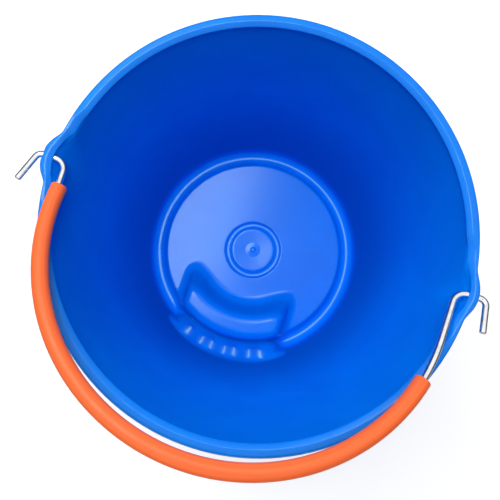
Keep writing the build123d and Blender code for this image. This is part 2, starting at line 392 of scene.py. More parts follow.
@dataclass(frozen=True)
class MouldedRubber:
    """Blue rubber pressed in a steel mould: a polished floor and rim, a wall dulled as it leaves the core.

    Sizes are in mm, and gloss is a roughness.
    """

    name: str = "blue_rubber_pressed_in_mould"
    colour: str = "#0082f6"
    cloud: str = "#007bf0"
    # Colour of the painted highlights on the finger ridges and in the rings.
    painted_highlight: str = "#a6ecff"
    grit: str = "#0058b8"
    # Colour of the painted shade low in the bucket.
    painted_shade_colour: str = "#0068cc"
    glint: str = "#dfffff"
    ior: float = 1.5
    shine: float = 0.5
    wall_shine: float = 0.08
    floor_gloss: float = 0.16
    gutter_gloss: float = 0.08
    rim_gloss: float = 0.24
    dull: float = 0.55
    grain_gloss: float = 0.03
    floor_edge: Span = (86.0, 89.0)
    gutter_edge: float = 94.0
    rim_height: float = 266.0
    fade: float = 6.0
    cloud_size: float = 38.0
    grain_size: float = 2.6
    grain_depth: float = 0.15
    grit_size: float = 1.8

    def material(self) -> bpy.types.Material:
        """Build the rubber: clouded colour, a sheen that changes with height, and a fine mould grain.

        Returns:
            The material.
        """
        material, add = new_material(self.name)
        place = add("TexCoord").outputs["Object"]
        height = add("SeparateXYZ", {0: place}).outputs["Z"]
        plan = add("VectorMath", {0: place, 1: (1, 1, 0)}, operation="MULTIPLY")
        radius = add("VectorMath", {0: plan}, operation="LENGTH").outputs["Value"]
        past_floor = add("MapRange", {
            "Value": radius, "From Min": self.gutter_edge * MM,
            "From Max": (self.gutter_edge + self.fade) * MM,
        }, interpolation_type="SMOOTHSTEP")
        under_rim = add("MapRange", {
            "Value": height, "From Min": (self.rim_height - self.fade) * MM, "From Max": self.rim_height * MM,
            "To Min": 1.0, "To Max": 0.0,
        }, interpolation_type="SMOOTHSTEP")
        wall = add("Math", {0: past_floor, 1: under_rim}, operation="MULTIPLY")

        # Uneven pigment: clouds a few centimetres wide, a shade darker, break up the flat colour.
        pigment = add("TexNoise", {"Vector": place, "Scale": per_metre(self.cloud_size)})
        clouds = add("MapRange", {"Value": pigment, "From Min": 0.3, "From Max": 0.7})
        # Painted shade: the lower wall, the hump's slope and the valley between hump and heel are drawn a
        # shade darker than the rim.
        painted_shade = add("Attribute", attribute_name="painted_shade").outputs["Fac"]
        # Grit pressed into the surface shows as sparse dark specks.
        specks = add("TexNoise", {"Vector": place, "Scale": per_metre(self.grit_size)})
        grit = add("MapRange", {"Value": specks, "From Min": 0.65, "From Max": 0.75, "To Max": 0.5})
        # Painted highlights: pale strokes along the finger ridges' edges and pale rings in the gate mark's
        # groove and in the gutter.
        pale = add("Attribute", attribute_name="painted_highlight").outputs["Fac"]
        colour = linear(self.colour)
        coats = ((clouds, self.cloud), (painted_shade, self.painted_shade_colour), (grit, self.grit), (pale, self.painted_highlight))
        for share, tint in coats:
            layers = add("Mix", {0: share, 6: colour, 7: linear(tint)}, data_type="RGBA")
            colour = layers.outputs[2]

        # The grain of the mould is finer than a pixel of the picture, so it is drawn some times coarser.
        grain = add("TexNoise", {
            "Vector": place, "Scale": per_metre(self.grain_size), "Detail": 3.0})
        relief = add("Bump", {"Height": grain, "Strength": 0.12, "Distance": self.grain_depth * MM})
        start, end = self.floor_edge
        rough = add("MapRange", {
            "Value": radius, "From Min": start * MM, "From Max": end * MM,
            "To Min": self.floor_gloss, "To Max": self.gutter_gloss})
        for source, low, high in ((wall, 0.0, self.dull - self.gutter_gloss),
                                  (under_rim, self.rim_gloss - self.gutter_gloss, 0.0),
                                  (grain, -self.grain_gloss, self.grain_gloss)):
            share = add("MapRange", {"Value": source, "To Min": low, "To Max": high})
            rough = add("Math", {0: rough, 1: share}, operation="ADD")
        shine = add("MapRange", {"Value": wall, "To Min": self.shine, "To Max": self.wall_shine})
        shader = add("BsdfPrincipled", {
            "Base Color": colour, "Roughness": rough, "Normal": relief, "Specular IOR Level": shine,
            "Specular Tint": linear(self.glint), "IOR": self.ior})
        add("OutputMaterial", {"Surface": shader})
        return material


@dataclass(frozen=True)
class GalvanisedWire:
    """Steel wire, drawn through a die and dipped in zinc: bright, with soft streaks along it. Sizes in mm."""

    name: str = "steel_wire_drawn_and_galvanised"
    colour: str = "#fafbfc"
    tarnish: str = "#e4e8ea"
    roughness: float = 0.16
    streak_gloss: float = 0.08
    streak_size: Triple = (40.0, 1.4, 1.4)
    streak_depth: float = 0.1
    bloom_size: Triple = (6.0, 5.0, 5.0)

    def material(self) -> bpy.types.Material:
        """Build the wire: zinc mottle in its colour, drawing streaks in its gloss and relief.

        Returns:
            The material.
        """
        material, add = new_material(self.name)
        lay = add("Attribute", attribute_name="lay").outputs["Vector"]
        # Zinc sets in patches about as wide as the wire, some greyer than others.
        blooms = add("Mapping", {"Vector": lay, "Scale": [per_metre(size) for size in self.bloom_size]})
        mottle = add("TexNoise", {"Vector": blooms, "Scale": 1.0})
        grey = add("MapRange", {"Value": mottle, "From Min": 0.4, "From Max": 0.75})
        zinc = add("Mix", {0: grey, 6: linear(self.colour), 7: linear(self.tarnish)}, data_type="RGBA")
        # The die's streaks are hundredths of a millimetre wide; they are drawn coarser, to be seen at all.
        drawn = add("Mapping", {"Vector": lay, "Scale": [per_metre(size) for size in self.streak_size]})
        streaks = add("TexNoise", {"Vector": drawn, "Scale": 1.0, "Detail": 3.0})
        relief = add("Bump", {"Height": streaks, "Strength": 0.15, "Distance": self.streak_depth * MM})
        rough = add("MapRange", {
            "Value": streaks, "From Min": 0.25, "From Max": 0.75,
            "To Min": self.roughness - self.streak_gloss, "To Max": self.roughness + self.streak_gloss})
        shader = add("BsdfPrincipled", {
            "Base Color": zinc.outputs[2], "Roughness": rough, "Normal": relief, "Metallic": 1.0})
        add("OutputMaterial", {"Surface": shader})
        return material


@dataclass(frozen=True)
class ExtrudedSleeve:
    """Orange soft plastic tube, extruded: satin, with faint lines along it. Sizes in mm."""

    name: str = "orange_plastic_extruded_tube"
    colour: str = "#fc6a30"
    streak: str = "#fe743e"
    ior: float = 1.48
    roughness: float = 0.42
    scuff_gloss: float = 0.07
    line_size: Triple = (160.0, 1.6, 1.6)
    line_depth: float = 0.12
    scuff_size: Triple = (14.0, 7.0, 7.0)

    def material(self) -> bpy.types.Material:
        """Build the tube: die lines in its colour and relief, handling scuffs in its gloss.

        Returns:
            The material.
        """
        material, add = new_material(self.name)
        lay = add("Attribute", attribute_name="lay").outputs["Vector"]
        # The die leaves lines that run the whole length of the tube.
        drawn = add("Mapping", {"Vector": lay, "Scale": [per_metre(size) for size in self.line_size]})
        lines = add("TexNoise", {"Vector": drawn, "Scale": 1.0})
        light = add("MapRange", {"Value": lines, "From Min": 0.35, "From Max": 0.65})
        skin = add("Mix", {0: light, 6: linear(self.colour), 7: linear(self.streak)}, data_type="RGBA")
        relief = add("Bump", {"Height": lines, "Strength": 0.12, "Distance": self.line_depth * MM})
        # Hands dull the satin in patches.
        rubbed = add("Mapping", {"Vector": lay, "Scale": [per_metre(size) for size in self.scuff_size]})
        scuffs = add("TexNoise", {"Vector": rubbed, "Scale": 1.0, "Detail": 3.0})
        rough = add("MapRange", {
            "Value": scuffs, "From Min": 0.3, "From Max": 0.7,
            "To Min": self.roughness - self.scuff_gloss, "To Max": self.roughness + self.scuff_gloss})
        shader = add("BsdfPrincipled", {
            "Base Color": skin.outputs[2], "Roughness": rough, "Normal": relief, "IOR": self.ior})
        add("OutputMaterial", {"Surface": shader})
        return material


def place_piece(name: str, mesh: bpy.types.Mesh, body: str, node: str) -> bpy.types.Object:
    """Put a finished mesh into the scene in the place of a plain solid.

    Args:
        name: Name of the piece.
        mesh: Its mesh, already dressed.
        body: Moving body that carries it.
        node: Solid that it stands for.

    Returns:
        The new object.
    """
    piece = bpy.data.objects.new(name, mesh)
    bpy.context.scene.collection.objects.link(piece)
    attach(piece, body)
    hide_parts(node)
    return piece


@dataclass
class BailWire(BailPlane):
    """One length of wire from hook to hook. Sizes in mm, angles in degrees."""

    radius: float = 2.5
    flare: float = 6.0
    inner_bend: float = 9.5
    outer_bend: float = 5.0
    arc_step: float = 2.5
    hook_x: float = 165.7
    hook_reach: float = 24.7
    hook_lean: dict[Side, float] = field(default_factory=lambda: {Side.LEFT: 13.0, Side.RIGHT: 2.5})
    end_round: float = 0.8

    def hook(self, side: Side) -> tuple[np.ndarray, np.ndarray]:
        """Find the straight end of a hook.

        Args:
            side: Which hook.

        Returns:
            Its start and its tip, flat in the plane.
        """
        lean = math.radians(self.hook_lean[side])
        sine, cosine = math.sin(lean), math.cos(lean)
        start = np.array([self.hook_x + self.outer_bend * cosine, self.outer_bend * (1 - sine)])
        tip = start + np.array([sine, cosine]) * (self.hook_reach - start[1]) / cosine
        return start * (side.value, 1), tip * (side.value, 1)

    def trail(self) -> Trail:
        """Bend the wire's path, from the left hook's tip to the right one's.

        Returns:
            The path, flat in the plane.
        """
        flare, small = math.radians(self.flare), self.inner_bend
        arc = np.array([math.cos(flare), math.sin(flare)]) * self.arc_radius + (0, self.arc_offset)
        bend_x = arc[0] + (arc[1] - small) * math.tan(flare) + small / math.cos(flare)
        bend = np.array([bend_x - small * math.cos(flare), small * (1 - math.sin(flare))])
        left, right = self.hook(Side.LEFT), self.hook(Side.RIGHT)
        trail = Trail([left[1]])
        trail.run(*left[0]).bend(-self.hook_x, self.outer_bend, 90 - self.hook_lean[Side.LEFT])
        trail.run(-bend_x, 0).bend(-bend_x, small, 90 - self.flare).run(-arc[0], arc[1])
        trail.bend(0, self.arc_offset, 2 * self.flare - 180, self.arc_step).run(*bend)
        trail.bend(bend_x, small, 90 - self.flare).run(self.hook_x, 0)
        return trail.bend(self.hook_x, self.outer_bend, 90 - self.hook_lean[Side.RIGHT]).run(*right[1])

    def build(self) -> bpy.types.Object:
        """Sweep the wire, dress it and let it stand for the plain solid.

        Returns:
            The piece.
        """
        trail = self.trail()
        path, ahead, along = np.array(trail.places), np.array(trail.headings), trail.lengths()
        nose, last = self.rounded_end(self.radius, self.end_round), along[-1]
        rows = nose + [(s, self.radius) for s in along if nose[-1][0] < s < last - nose[-1][0]]
        rows += [(last - s, r) for s, r in reversed(nose)]
        skin, lay = Skin(), [np.zeros((1, 3))]
        skin.tip(self.lift(path[0]) + (0, 0, self.hinge_z))
        for s, r in rows:
            spot = np.array([np.interp(s, along, path[:, k]) for k in (0, 1)])
            heading = np.array([np.interp(s, along, ahead[:, k]) for k in (0, 1)])
            skin.add(self.ring(spot, heading / np.linalg.norm(heading), r))
            lay.append(self.lay(s, r))
        skin.tip(self.lift(path[-1]) + (0, 0, self.hinge_z))
        mesh = skin.mesh("bail_wire", np.vstack(lay + [np.array([[last, 0.0, 0.0]])]))
        mesh.set_sharp_from_angle(angle=math.radians(self.crease))
        mesh.materials.append(GalvanisedWire().material())
        return place_piece("bail_wire", mesh, "handle", "bail")


@dataclass
class GripSleeve(BailPlane):
    """The tube on the wire, at its left stop. Sizes in mm, angles in degrees."""

    outside: float = 6.0
    bore: float = 4.0
    start: float = 181.2
    end: float = 18.9
    edge: float = 0.5
    sides: int = 36
    count: int = 72

    def build(self) -> bpy.types.Object:
        """Turn the tube about the arc's centre, dress it and let it stand for the plain solid.

        Returns:
            The piece.
        """
        ends = self.rounded_end(self.outside, self.edge)
        edge = [(math.degrees(back / self.arc_radius), r) for back, r in ends]
        start, end = self.start - edge[-1][0], self.end + edge[-1][0]
        rows = [(self.start - turn, r) for turn, r in edge]
        rows += [(angle, self.outside) for angle in np.linspace(start, end, self.count)[1:-1]]
        rows += [(self.end + turn, r) for turn, r in reversed(edge)]
        rows += [(angle, self.bore) for angle in np.linspace(self.end, self.start, self.count // 2)]
        skin, lay = Skin(), []
        for angle, r in rows:
            spoke = np.array([math.cos(math.radians(angle)), math.sin(math.radians(angle))])
            spot = spoke * self.arc_radius + (0, self.arc_offset)
            skin.add(self.ring(spot, np.array([spoke[1], -spoke[0]]), r))
            lay.append(self.lay(math.radians(self.start - angle) * self.arc_radius, r))
        skin.close()
        mesh = skin.mesh("grip_sleeve", np.vstack(lay))
        mesh.set_sharp_from_angle(angle=math.radians(self.crease))
        mesh.materials.append(ExtrudedSleeve().material())
        return place_piece("grip_sleeve", mesh, "sleeve", "grip")


@dataclass(frozen=True)
class Ear:
    """Plan sizes of one ear, in mm: outer circle, pocket circle and the seat pressed in round its hole."""

    reach: float
    radius: float
    pocket_x: float
    pocket: float
    seat: float


@dataclass(frozen=True)
class Stroke:
    """One painted highlight stroke along a finger ridge's edge: turn from the front in degrees, width in mm,
    strength.
    """

    turn: float
    width: float
    strength: float


@dataclass(frozen=True)
class PaintedHighlightRing:
    """One painted highlight ring in a hollow: radius and width in mm, strength."""

    radius: float
    width: float
    strength: float

    def amount(self, r: np.ndarray) -> np.ndarray:
        """How much painted highlight the ring puts on points at these radii."""
        return self.strength * np.exp(-((r - self.radius) / self.width) ** 2)


@dataclass
class BucketShell:
    """The moulded shell, one closed skin from the gate mark out over the rim to the underside.

    Sizes are in mm and angles in degrees. A pair of values is where a passage starts and ends.
    """

    # Wall, floor, rim and foot.
    height: float = 270.0
    rim: float = 160.0
    mouth: float = 150.0
    base: float = 103.5
    wall: float = 4.1
    floor_top: float = 14.0
    floor_under: float = 9.0
    lip_root: float = 262.5
    lip_inner: float = 149.0
    gutter_floor: float = 6.0
    floor_edge: float = 88.0
    foot_inner: float = 86.5
    gate_edge: float = 31.0
    gate_groove: float = 2.8
    gate_dip: float = 0.45
    field_edge: float = 113.0
    ear_zone: float = 200.0
    low_zone: float = 62.0
    crease: float = 48.0
    # Painted highlight rings in the gate mark's groove and at the bottom of the gutter.
    gate_ring: PaintedHighlightRing = PaintedHighlightRing(25.5, 0.65, 0.42)
    gutter_ring: PaintedHighlightRing = PaintedHighlightRing(96.7, 0.6, 0.6)
    gutter_ring_start: Span = (3.0, 8.0)

    # The hump of the hand-hold, and the finger pocket under it.
    hump_top: float = 40.0
    hump_inner_foot: float = 54.7
    hump_inner_top: float = 66.8
    hump_outer_top: float = 87.5
    valley: float = 91.6
    valley_floor: float = 22.0
    hump_half: float = 52.5
    hump_side_lean: float = 4.0
    horn_foot: float = 35.1
    horn_top: float = 54.6
    hump_wall: float = 4.0
    hump_foot_round: float = 8.0
    hump_edge_round: float = 6.0
    hump_side_round: float = 6.0
    hump_back_round: float = 4.0
    horn_round: float = 5.0
    finger_pocket_round: float = 2.5
    finger_pocket_gap: float = 0.3
    front_half_angle: float = 80.0

    # The heel behind the hump, with its finger ridges and the painted highlight strokes along them.
    heel_top: float = 46.0
    heel_wall: float = 4.2
    heel_foot: float = 89.04
    heel_draft: float = 0.4445
    heel_half_angle: float = 31.8
    heel_narrowing: float = 8.0
    heel_narrows: Span = (32.0, 50.0)
    heel_end_round: float = 13.0
    heel_fillet: float = 3.5
    heel_end_fillet: float = 9.5
    heel_fillet_turn: float = 12.0
    heel_flare: float = 1.3
    heel_flare_turn: float = 3.0
    heel_blend: float = 2.0
    heel_shift: float = 1.2
    ridge_count: int = 4
    ridge_pitch: float = 13.3
    ridge_shift: float = -1.7
    ridge_rise: float = 1.7
    ridge_flank: Span = (3.2, 6.8)
    ridge_start: Span = (2.0, 20.0)
    ridge_end: Span = (23.5, 29.0)
    groove_depth: float = 1.4
    groove_start: Span = (8.0, 14.0)
    groove_end: Span = (32.0, 40.0)
    strokes: tuple[Stroke, ...] = (
        Stroke(-20.2, 1.5, 1.0), Stroke(-11.3, 1.0, 0.9), Stroke(-5.6, 1.3, 0.85), Stroke(2.0, 1.0, 0.75),
        Stroke(7.4, 1.4, 0.9), Stroke(15.6, 1.0, 0.8), Stroke(21.6, 1.5, 1.0))
    stroke_start: Span = (11.5, 15.0)
    stroke_end: Span = (22.5, 26.5)
    stroke_depth: Span = (3.0, 3.8)
    stroke_widens: Span = (13.0, 24.0)
    stroke_width: Span = (0.6, 1.1)
    stroke_core: float = 0.85
    stroke_halo: float = 0.2
    halo_width: float = 3.2

    # Painted shade: how the lower wall, the hump's slope and the valley are drawn darker.
    wall_painted_shade: float = 0.85
    wall_painted_shade_start: Span = (12.0, 24.0)
    wall_painted_shade_end: Span = (40.0, 170.0)
    wall_painted_shade_depth: Span = (0.1, 1.2)
    slope_painted_shade: float = 0.4
    slope_painted_shade_fade: Span = (1.0, 6.0)
    slope_painted_shade_reach: float = 4.0
    slope_painted_shade_depth: float = 2.0
    valley_painted_shade: float = 0.9
    valley_painted_shade_width: float = 1.5
    valley_painted_shade_reach: float = 2.5
    valley_painted_shade_rise: float = 2.0

    # The ears, the worn rim beside them and the half-round band over their pockets.
    hinge_z: float = 263.0
    hole: float = 2.9
    hole_sides: int = 40
    drill_past_rim: float = 20.0
    ear_rise: float = 34.0
    ear_blend: float = 3.0
    ear_pocket_taper: float = 0.35
    ear_pocket_lip: float = 2.0
    seat_flank: Span = (3.6, 6.4)
    worn_near: Span = (28.0, 42.0)
    worn_depth: float = 2.0
    worn_climb: float = 4.7
    shelf_share: float = 0.36
    crest_share: float = 0.9
    crest_wear: float = 0.7
    band_run: float = 6.0
    band_height: float = 8.0
    band_slope: float = 0.14
    band_outer_share: float = 0.85
    band_outer_drop: float = 1.26
    band_outer_height: float = 6.5
    band_top: float = 2.9
    band_crown: float = 1.4
    band_bow: float = 2.1
    band_middle: float = 0.47
    ears: dict[Side, Ear] = field(default_factory=lambda: {
        Side.LEFT: Ear(reach=167.6, radius=23.4, pocket_x=131.4, pocket=26.6, seat=1.3),
        Side.RIGHT: Ear(reach=165.2, radius=24.2, pocket_x=131.4, pocket=26.0, seat=0.0)})

    def inner_wall(self, z: Values) -> Values:
        """Radius of the inner wall face at a height."""
        return self.base + (z - self.floor_top) * (self.mouth - self.base) / (self.lip_root - self.floor_top)

    def outer_wall(self, z: Values) -> Values:
        """Radius of the outer wall face at a height."""
        return self.inner_wall(z) + self.wall

    def wall_height(self, r: float) -> float:
        """Height at which the inner wall face has a radius."""
        return self.floor_top + (r - self.base) * (self.lip_root - self.floor_top) / (self.mouth - self.base)

    def gate_outline(self) -> np.ndarray:
        """Draw the gate mark with its ring groove, from the axis outward.

        Returns:
            Points of the outline, one row of radius and height each.
        """
        top, low = self.floor_top, self.floor_top - self.gate_groove
        dip = top - self.gate_dip
        return rounded([
            (0.0, dip + 1.6, 0), (1.7, dip + 1.25, 0.9), (3.2, dip + 0.45, 1.2), (7.4, dip, 6.0),
            (21.0, top, 0.9), (24.4, low, 1.1), (26.6, low, 0.9), (28.8, top, 0.9), (self.gate_edge, top, 0),
        ], step=1.6, arc_step=0.35)

    def floor_outline(self) -> np.ndarray:
        """Draw the floor, the round gutter and the foot of the wall, from the gate mark outward.

        Returns:
            Points of the outline, one row of radius and height each.
        """
        top, low, end = self.floor_top, self.gutter_floor, self.field_edge + 1
        return rounded([
            (self.gate_edge, top, 0), (self.floor_edge, top, 2.2), (self.floor_edge + 4, low, 5.2),
            (self.inner_wall(low), low, 6.6), (end, self.wall_height(end), 0),
        ], step=0.5, arc_step=0.3)

    def rim_outline(self) -> np.ndarray:
        """Draw the rim bead and the wall beside it, from inside to outside.

        Returns:
            Points of the outline, one row of radius and height each.
        """
        low, high = self.ear_zone, self.height
        under = high - 16.5
        return rounded([
            (self.inner_wall(low), low, 0), (self.mouth, self.lip_root, 3.0),
            (self.lip_inner, high - 2.8, 0.5), (self.mouth + 3.0, high, 1.6),
            (self.rim - 1.6, high - 1.5, 3.4), (self.rim, self.lip_root, 8.0), (self.rim, high - 15, 2.0),
            (self.outer_wall(under), under, 2.0), (self.outer_wall(low), low, 0),
        ], step=2.2)

    def foot_outline(self) -> np.ndarray:
        """Draw the outer wall's foot, the foot ring and the recess under the floor.

        Returns:
            Points of the outline, one row of radius and height each.
        """
        start, under = self.low_zone, self.floor_under
        return rounded([
            (self.outer_wall(start), start, 0), (self.outer_wall(0), 0, 3.0), (self.foot_inner, 0, 1.5),
            (self.foot_inner - 2, under, 3.0), (self.gate_edge, under, 0),
        ], step=1.9)

    @staticmethod
    def columns(*spans: Triple) -> np.ndarray:
        """Angles of a ring's points in radians, 0 at the front, from start, end and step in degrees."""
        parts = [np.arange(start, end - step / 2, step) for start, end, step in spans]
        return np.radians(np.concatenate(parts))

    def hump_field(self, x: np.ndarray, y: np.ndarray, z: np.ndarray) -> np.ndarray:
        """Signed distance to the hand-hold's hump, below zero inside it.

        Args:
            x: Places across.
            y: Places along, with the front at minus.
            z: Heights.

        Returns:
            Distances, rounded where the faces meet.
        """
        r, ahead, up = np.hypot(x, y), -y, z - self.floor_top
        rise = self.hump_top - self.floor_top
        inner_lean = (self.hump_inner_top - self.hump_inner_foot) / rise
        outer_lean = (self.valley - self.hump_outer_top) / (self.hump_top - self.valley_floor)
        side_lean = self.hump_side_lean / rise
        horn_lean = (self.horn_top - self.horn_foot) / rise
        inner = (self.hump_inner_foot + up * inner_lean - r) / math.hypot(1, inner_lean)
        outer = (r - self.hump_outer_top - (self.hump_top - z) * outer_lean) / math.hypot(1, outer_lean)
        side = (np.abs(x) - self.hump_half + up * side_lean) / math.hypot(1, side_lean)
        horn = (self.horn_foot + up * horn_lean - ahead) / math.hypot(1, horn_lean)
        plan = round_max(round_max(inner, horn, self.horn_round), side, self.hump_side_round)
        block = round_max(plan, outer, self.hump_back_round)
        return round_max(block, z - self.hump_top, self.hump_edge_round)

    def heel_lean(self) -> float:
        """How far the heel's face leans out per mm of height."""
        return (self.inner_wall(self.heel_top) - self.valley) / (self.heel_top - self.valley_floor)

    def fingers(self, turn: np.ndarray, r: np.ndarray) -> np.ndarray:
        """Draw the pattern of the finger ridges.

        Args:
            turn: Angles of the points from the front, in radians.
            r: Radii of the points.

        Returns:
            1 on a ridge and 0 between them.
        """
        pattern = np.zeros_like(turn)
        for k in range(self.ridge_count):
            middle = math.radians((k - (self.ridge_count - 1) / 2) * self.ridge_pitch + self.ridge_shift)
            pattern = np.maximum(pattern, 1 - ease(np.abs(turn - middle) * r, *self.ridge_flank))
        return pattern

    def heel_field(self, x: np.ndarray, y: np.ndarray, z: np.ndarray) -> np.ndarray:
        """Signed distance to the heel behind the hump, with its finger ridges, below zero inside it.

        Args:
            x: Places across.
            y: Places along, with the front at minus.
            z: Heights.

        Returns:
            Distances, rounded where the faces meet.
        """
        r, turn = np.hypot(x, y), np.arctan2(x, -y)
        lean = self.heel_lean()
        face = (self.valley + (z - self.valley_floor) * lean - r) / math.hypot(1, lean)
        along = (z - self.valley_floor) * math.hypot(1, lean)
        length = ease(along, *self.ridge_start) * (1 - ease(along, *self.ridge_end))
        face = face - self.ridge_rise * self.fingers(turn, r) * length
        half = np.radians(self.heel_half_angle - self.heel_narrowing * ease(z, *self.heel_narrows))
        end = (np.abs(turn - math.radians(self.heel_shift)) - half) * r
        return round_max(face, end, self.heel_end_round)

    def painted_highlight_share(self, places: np.ndarray) -> np.ndarray:
        """How much highlight is painted along the ridges' edges, in the gate mark's groove and in the gutter.

        Args:
            places: Points of the shell, one per row.

        Returns:
            A value from 0 to 1 for each point.
        """
        x, y, z = places.T
        r, turn = np.hypot(x, y), np.degrees(np.arctan2(x, -y))
        lean = self.heel_lean()
        along = (z - self.valley_floor) * math.hypot(1, lean)
        depth = np.abs(self.valley + (z - self.valley_floor) * lean - r)
        window = ease(along, *self.stroke_start) * (1 - ease(along, *self.stroke_end))
        window = window * (1 - ease(depth, *self.stroke_depth))
        lines, (narrow, wide) = np.zeros_like(r), self.stroke_width
        for stroke in self.strokes:
            away = np.radians(turn - stroke.turn) * r
            width = stroke.width * (narrow + (wide - narrow) * ease(along, *self.stroke_widens))
            core, halo = np.exp(-(away / width) ** 2), np.exp(-(away / self.halo_width) ** 2)
            lines += stroke.strength * (self.stroke_core * core + self.stroke_halo * halo)
        beside_heel = ease(np.abs(turn) - self.heel_half_angle, *self.gutter_ring_start)
        gutter = self.gutter_ring.amount(r) * (z < self.floor_top) * beside_heel
        return np.minimum(lines, 1.0) * window + self.gate_ring.amount(r) + gutter

    def painted_shade_share(self, places: np.ndarray) -> np.ndarray:
        """How much shade is painted on the lower wall, the hump's slope and the valley.

        Args:
            places: Points of the shell, one per row.

        Returns:
            A value from 0 up for each point, full at 1.
        """
        x, y, z = places.T
        r, hump = np.hypot(x, y), self.hump_field(x, y, z)
        up, under_top = z - self.floor_top, self.hump_top - z
        wall = 1 - ease(self.inner_wall(z) - r, *self.wall_painted_shade_depth)
        wall = wall * ease(z, *self.wall_painted_shade_start) * (1 - ease(z, *self.wall_painted_shade_end))
        slope = ease(up, *self.slope_painted_shade_fade) * ease(under_top, *self.slope_painted_shade_fade)
        slope = slope * (r < self.hump_inner_top + self.slope_painted_shade_reach) * (hump > -self.slope_painted_shade_depth)
        valley = np.exp(-((r - self.valley) / self.valley_painted_shade_width) ** 2)
        valley = valley * (hump < self.valley_painted_shade_reach) * (up > self.valley_painted_shade_rise)
        return self.wall_painted_shade * wall + self.slope_painted_shade * slope + self.valley_painted_shade * valley

    @staticmethod
    def raise_to(surface: Callable[[np.ndarray], np.ndarray], low: np.ndarray, high: float,
                 halvings: int = 28) -> np.ndarray:
        """Find the height at which a field turns from below to above zero.

        Args:
            surface: Field over heights, at fixed places.
            low: Heights to start from.
            high: Height that is surely above.
            halvings: How often the span between them is halved.

        Returns:
            Heights of the surface.
        """
        bottom, top = low.copy(), np.full_like(low, high)
        for _ in range(halvings):
            middle = (bottom + top) / 2
            inside = surface(middle) < 0
            bottom, top = np.where(inside, middle, bottom), np.where(inside, top, middle)
        return (bottom + top) / 2

    def inside_height(self, x: np.ndarray, y: np.ndarray) -> np.ndarray:
        """Height of the inside: floor, gutter and wall foot, with the hump and the heel grown onto them.

        Args:
            x: Places across.
            y: Places along, with the front at minus.

        Returns:
            Heights.
        """
        outline = self.floor_outline()
        r = np.hypot(x, y)
        ground = np.interp(r, outline[:, 0], outline[:, 1])
        slope = np.gradient(outline[:, 1], outline[:, 0])
        tilt = 1 / np.hypot(1, np.interp(r, outline[:, 0], slope))
        turn = np.degrees(np.arctan2(x, -y)) - self.heel_shift
        near_end = ease(np.abs(turn), self.heel_half_angle - self.heel_fillet_turn, self.heel_half_angle)
        fillet = self.heel_fillet + (self.heel_end_fillet - self.heel_fillet) * near_end

        def surface(z: np.ndarray) -> np.ndarray:
            """Signed distance to the inside.

            Args:
                z: Heights.

            Returns:
                Distances, below zero in the rubber.
            """
            above = (z - ground) * tilt
            hump = round_min(above, self.hump_field(x, y, z), self.hump_foot_round)
            return np.minimum(hump, round_min(above, self.heel_field(x, y, z), fillet))

        front = np.abs(np.arctan2(x, -y)) < math.radians(self.front_half_angle)
        return np.where(front, self.raise_to(surface, ground - 1, 2 * self.hump_top), ground)

    def under_height(self, x: np.ndarray, y: np.ndarray, z: np.ndarray) -> np.ndarray:
        """Height of the underside, with the finger pocket one wall inside the hump.

        Args:
            x: Places across.
            y: Places along, with the front at minus.
            z: Heights without the pocket.

        Returns:
            Heights.
        """
        def surface(height: np.ndarray) -> np.ndarray:
            """Signed distance to the underside at these heights."""
            pocket = self.hump_field(x, y, height) + self.hump_wall
            return round_min(height - z, pocket, self.finger_pocket_round)

        return self.raise_to(surface, z - 0.01, 1.5 * self.hump_top)

    @staticmethod
    def bulge(turn: np.ndarray, r: np.ndarray, middle: float, radius: float, width: float) -> np.ndarray:
        """Push radii out to a circle on the hinge line, with a soft passage.

        Args:
            turn: Angles of the points from the ear's side of the hinge line.
            r: Radii of the points.
            middle: Distance of the circle's middle from the axis.
            radius: Radius of the circle.
            width: Width of the passage.

        Returns:
            The new radii.
        """
        reach = radius ** 2 - (middle * np.sin(turn)) ** 2
        circle = middle * np.cos(turn) + np.sign(reach) * np.sqrt(np.abs(reach))
        return np.maximum(r, circle) + np.maximum(width - np.abs(r - circle), 0) ** 2 / (4 * width)

    def ear_inside(self, angle: np.ndarray, r: np.ndarray, z: float) -> np.ndarray:
        """Radii of the inside at a height, with the two pockets, which taper down into the wall.

        Args:
            angle: Angles of the points from the front.
            r: Radii of the points without the ears.
            z: Height.

        Returns:
            The new radii.
        """
        for side, ear in self.ears.items():
            turn = angle - side.value * math.pi / 2
            below_lip = max(self.height - self.ear_pocket_lip - z, 0.0)
            radius = ear.pocket - self.ear_pocket_taper * below_lip
            r = self.bulge(turn, r, ear.pocket_x, radius, self.ear_blend)
        return r

    def ear_outside(self, angle: np.ndarray, r: np.ndarray, z: float) -> np.ndarray:
        """Radii of the outside at a height, with the two domes and the seat round a hole.

        Args:
            angle: Angles of the points from the front.
            r: Radii of the points without the ears.
            z: Height.

        Returns:
            The new radii.
        """
        up = z - self.hinge_z
        for side, ear in self.ears.items():
            turn = angle - side.value * math.pi / 2
            radius = ear.radius * math.sqrt(max(1 - (up / self.ear_rise) ** 2, 0.0))
            r = self.bulge(turn, r, ear.reach - ear.radius, radius, self.ear_blend)
            seat = 1 - ease(np.hypot(ear.reach * np.sin(turn), up), *self.seat_flank)
            r = r - ear.seat * seat * (np.sign(angle) == side.value)
        return r

    def band_drop(self, across: float, z: float) -> float:
        """How far the rim drops on an ear, where it is a plain half-round band.

        Args:
            across: Share of the way from the rim's inner edge to its outer one.
            z: Height of the rim away from the ears.

        Returns:
            The drop.
        """
        above = max(z - self.height + self.band_height, 0.0)
        if across > self.band_outer_share:
            return self.band_outer_drop * min(above / self.band_outer_height, 1.0)
        if z > self.height - self.band_top:
            aside = (across - self.band_middle) / self.band_middle
            return z - self.height + self.band_crown + self.band_bow * aside ** 2
        return self.band_slope * above

